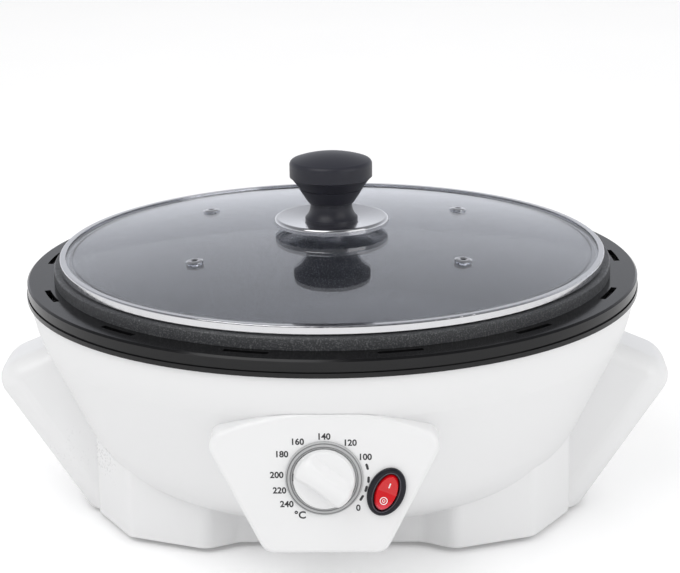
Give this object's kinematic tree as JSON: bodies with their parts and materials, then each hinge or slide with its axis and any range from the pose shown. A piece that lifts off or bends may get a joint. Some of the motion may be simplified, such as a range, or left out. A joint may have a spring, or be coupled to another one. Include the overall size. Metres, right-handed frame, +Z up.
{
  "type": "home coffee bean roaster",
  "caption": "Round white countertop coffee bean roaster with a lift-off domed glass lid, a stirred coated bowl, side ears, a temperature knob and a rocker switch.",
  "frame": {"origin": "on the bowl's upright axis, at the level of the surface that the feet stand on", "axes": "+Z up along the bowl's axis, the control panel faces -Y, +X to the right of someone who looks at the panel"},
  "size_m": [0.3662, 0.3374, 0.1942],
  "materials": {
    "white_shell": "smooth glossy white moulding",
    "white_knob": "smooth white",
    "grey_trim": "satin grey",
    "black_ring": "glossy black",
    "black_handle": "satin black heat-proof",
    "black_switch": "satin black",
    "red_rocker": "translucent red",
    "nonstick": "dark non-stick coating on cast aluminium",
    "glass": "clear tempered",
    "polished_steel": "polished stainless steel",
    "zinc_steel": "zinc plated",
    "shield_sheet": "aluminised sheet",
    "stirrer_metal": "cast and bead blasted",
    "brass": "plain",
    "brown_case": "phenolic",
    "grey_plate": "light grey moulding",
    "rubber": "matte"
  },
  "bodies": {
    "housing": {"outer_shell": "white_shell", "rim_ring": "black_ring", "ring_screws": "zinc_steel", "control_panel": "white_shell", "dial_ring": "grey_trim", "thermostat_case": "brown_case", "sensor_bulb": "brass", "bulb_clip": "zinc_steel", "capillary_tube": "brass", "switch_housing": "black_switch", "switch_terminal_1": "brass", "switch_terminal_2": "brass", "switch_terminal_3": "brass", "roasting_bowl": "nonstick", "shaft_bush": "brass", "heating_element": "zinc_steel", "heater_clamp_1": "zinc_steel", "heater_clamp_2": "zinc_steel", "heater_clamp_3": "zinc_steel", "heat_shield": "shield_sheet", "shield_screws": "zinc_steel", "motor_flange": "zinc_steel", "motor_can": "zinc_steel", "gear_case": "zinc_steel", "motor_screws": "zinc_steel", "base_plate": "grey_plate", "base_screws": "zinc_steel", "rubber_foot_1": "rubber", "rubber_foot_2": "rubber", "rubber_foot_3": "rubber", "rubber_foot_4": "rubber", "cord_gland": "black_switch", "gland_nut": "black_switch", "terminal_block": "brown_case", "thermal_fuse": "brass", "fuse_clip": "zinc_steel"},
    "lid": {"lid_glass": "glass", "lid_vent_1": "polished_steel", "lid_vent_2": "polished_steel", "lid_vent_3": "polished_steel", "lid_vent_4": "polished_steel", "lid_rim": "polished_steel", "chrome_disc": "polished_steel", "lid_knob": "black_handle", "lid_screw": "zinc_steel", "lid_washer": "zinc_steel"},
    "stirrer": {"drive_shaft": "zinc_steel", "stirrer_hub": "stirrer_metal", "stirrer_arm_1": "stirrer_metal", "stirrer_arm_2": "stirrer_metal", "stirrer_blade_1": "stirrer_metal", "stirrer_blade_2": "stirrer_metal"},
    "knob": {"temperature_knob": "white_knob", "thermostat_spindle": "zinc_steel"},
    "rocker": {"switch_rocker": "red_rocker"}
  },
  "joints": [
    {"name": "lid_lift", "type": "slide", "parent": "housing", "child": "lid", "axis": [0, 0, 1], "range_m": [0, 0.14]},
    {"name": "stirrer_spin", "type": "hinge", "parent": "housing", "child": "stirrer", "pos_m": [0, 0, 0.07], "axis": [0, 0, 1], "continuous": true},
    {"name": "temperature_turn", "type": "hinge", "parent": "housing", "child": "knob", "pos_m": [0, -0.16, 0.0696], "axis": [0, -1, 0], "range_deg": [-220, 40]},
    {"name": "rocker_tilt", "type": "hinge", "parent": "housing", "child": "rocker", "pos_m": [0.03, -0.159, 0.0626], "axis": [0.9272, 0, -0.3746], "range_deg": [0, 14]}
  ]
}
